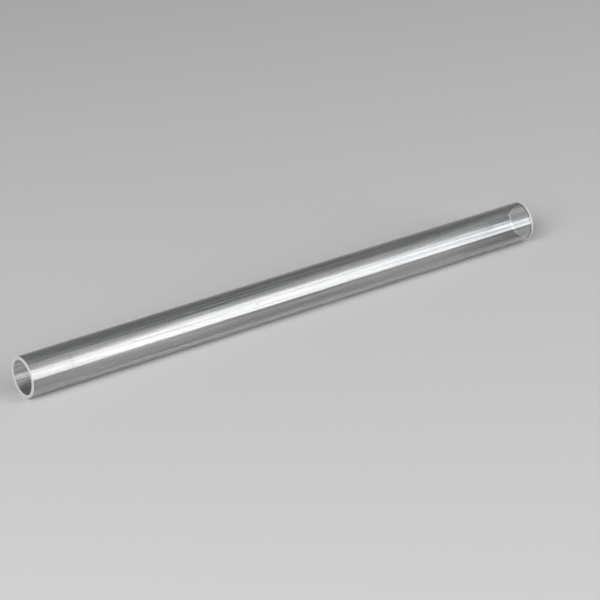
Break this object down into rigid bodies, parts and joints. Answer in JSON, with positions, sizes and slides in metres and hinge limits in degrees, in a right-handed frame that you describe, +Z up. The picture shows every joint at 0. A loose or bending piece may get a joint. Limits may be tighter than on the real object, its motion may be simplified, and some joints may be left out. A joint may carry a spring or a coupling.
{
  "type": "sapphire tube",
  "caption": "Clear single-crystal sapphire tube, open at both ends, with a plain round bore, flat ground ends and bevelled rims, lying on its side.",
  "frame": {"origin": "on the surface the tube lies on, under the middle of its length", "axes": "+X along the bore, towards the end with the small flake; +Z up; the flake is on the +Y side"},
  "size_m": [0.417, 0.0286, 0.0285],
  "materials": {
    "sapphire": "clear and glossy with fine lengthwise growth lines, ends ground matte"
  },
  "bodies": {
    "root": {"tube": "sapphire"}
  },
  "joints": []
}
